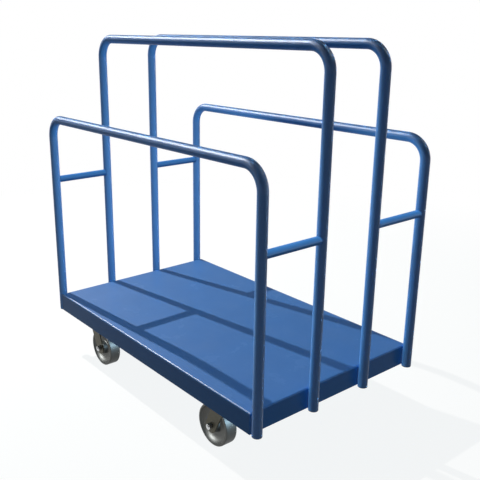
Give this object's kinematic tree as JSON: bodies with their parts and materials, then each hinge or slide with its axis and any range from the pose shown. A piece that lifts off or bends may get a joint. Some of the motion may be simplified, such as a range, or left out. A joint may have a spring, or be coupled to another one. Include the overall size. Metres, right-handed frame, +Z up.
{
  "type": "drywall cart",
  "caption": "Flat steel deck cart on swivel casters, with bent tube rails of two heights that hold drywall sheets on edge in slots along the deck.",
  "frame": {"origin": "on the floor under the middle of the deck, at the wheels' lowest points", "axes": "+X along the deck to the right, +Y across it from the front side to the rear side, +Z up"},
  "size_m": [1.2864, 0.7656, 1.327],
  "materials": {
    "blue_paint": "smooth blue powder coat",
    "plug_plastic": "moulded black polyethylene",
    "zinc_plate": "yellowish zinc plate on pressed steel",
    "fastener_steel": "bright zinc plate",
    "bearing_steel": "ground bearing steel",
    "wheel_iron": "machined bright iron"
  },
  "bodies": {
    "cart_frame": {"deck_pan": "blue_paint", "left_channel": "blue_paint", "right_channel": "blue_paint", "deck_spine": "blue_paint", "front_outer_rail": "blue_paint", "front_inner_rail": "blue_paint", "rear_inner_rail": "blue_paint", "rear_outer_rail": "blue_paint", "front_left_tie": "blue_paint", "front_right_tie": "blue_paint", "rear_left_tie": "blue_paint", "rear_right_tie": "blue_paint", "leg_plugs": "plug_plastic", "leg_welds": "blue_paint", "caster_bolts": "fastener_steel", "caster_lock_washers": "fastener_steel", "caster_weld_nuts": "fastener_steel", "kingpins": "fastener_steel", "kingpin_nuts": "fastener_steel", "lower_cups": "zinc_plate", "upper_balls": "bearing_steel", "lower_balls": "bearing_steel", "front_left_plate": "zinc_plate", "front_right_plate": "zinc_plate", "rear_left_plate": "zinc_plate", "rear_right_plate": "zinc_plate"},
    "front_left_swivel": {"front_left_fork": "zinc_plate", "front_left_sleeve": "bearing_steel", "front_left_axle_bolt": "fastener_steel", "front_left_axle_nut": "fastener_steel", "front_left_thrust_washers": "fastener_steel"},
    "front_left_rolling_wheel": {"front_left_wheel": "wheel_iron", "front_left_rollers": "bearing_steel"},
    "front_right_swivel": {"front_right_fork": "zinc_plate", "front_right_sleeve": "bearing_steel", "front_right_axle_bolt": "fastener_steel", "front_right_axle_nut": "fastener_steel", "front_right_thrust_washers": "fastener_steel"},
    "front_right_rolling_wheel": {"front_right_wheel": "wheel_iron", "front_right_rollers": "bearing_steel"},
    "rear_left_swivel": {"rear_left_fork": "zinc_plate", "rear_left_sleeve": "bearing_steel", "rear_left_axle_bolt": "fastener_steel", "rear_left_axle_nut": "fastener_steel", "rear_left_thrust_washers": "fastener_steel"},
    "rear_left_rolling_wheel": {"rear_left_wheel": "wheel_iron", "rear_left_rollers": "bearing_steel"},
    "rear_right_swivel": {"rear_right_fork": "zinc_plate", "rear_right_sleeve": "bearing_steel", "rear_right_axle_bolt": "fastener_steel", "rear_right_axle_nut": "fastener_steel", "rear_right_thrust_washers": "fastener_steel"},
    "rear_right_rolling_wheel": {"rear_right_wheel": "wheel_iron", "rear_right_rollers": "bearing_steel"}
  },
  "joints": [
    {"name": "front_left_swivel_turn", "type": "hinge", "parent": "cart_frame", "child": "front_left_swivel", "pos_m": [-0.41, -0.31, 0.172], "axis": [0, 0, 1], "continuous": true},
    {"name": "front_left_wheel_spin", "type": "hinge", "parent": "front_left_swivel", "child": "front_left_rolling_wheel", "pos_m": [-0.37, -0.31, 0.075], "axis": [0, 1, 0], "continuous": true},
    {"name": "front_right_swivel_turn", "type": "hinge", "parent": "cart_frame", "child": "front_right_swivel", "pos_m": [0.41, -0.31, 0.172], "axis": [0, 0, 1], "continuous": true},
    {"name": "front_right_wheel_spin", "type": "hinge", "parent": "front_right_swivel", "child": "front_right_rolling_wheel", "pos_m": [0.37, -0.31, 0.075], "axis": [0, 1, 0], "continuous": true},
    {"name": "rear_left_swivel_turn", "type": "hinge", "parent": "cart_frame", "child": "rear_left_swivel", "pos_m": [-0.41, 0.31, 0.172], "axis": [0, 0, 1], "continuous": true},
    {"name": "rear_left_wheel_spin", "type": "hinge", "parent": "rear_left_swivel", "child": "rear_left_rolling_wheel", "pos_m": [-0.37, 0.31, 0.075], "axis": [0, 1, 0], "continuous": true},
    {"name": "rear_right_swivel_turn", "type": "hinge", "parent": "cart_frame", "child": "rear_right_swivel", "pos_m": [0.41, 0.31, 0.172], "axis": [0, 0, 1], "continuous": true},
    {"name": "rear_right_wheel_spin", "type": "hinge", "parent": "rear_right_swivel", "child": "rear_right_rolling_wheel", "pos_m": [0.37, 0.31, 0.075], "axis": [0, 1, 0], "continuous": true}
  ]
}
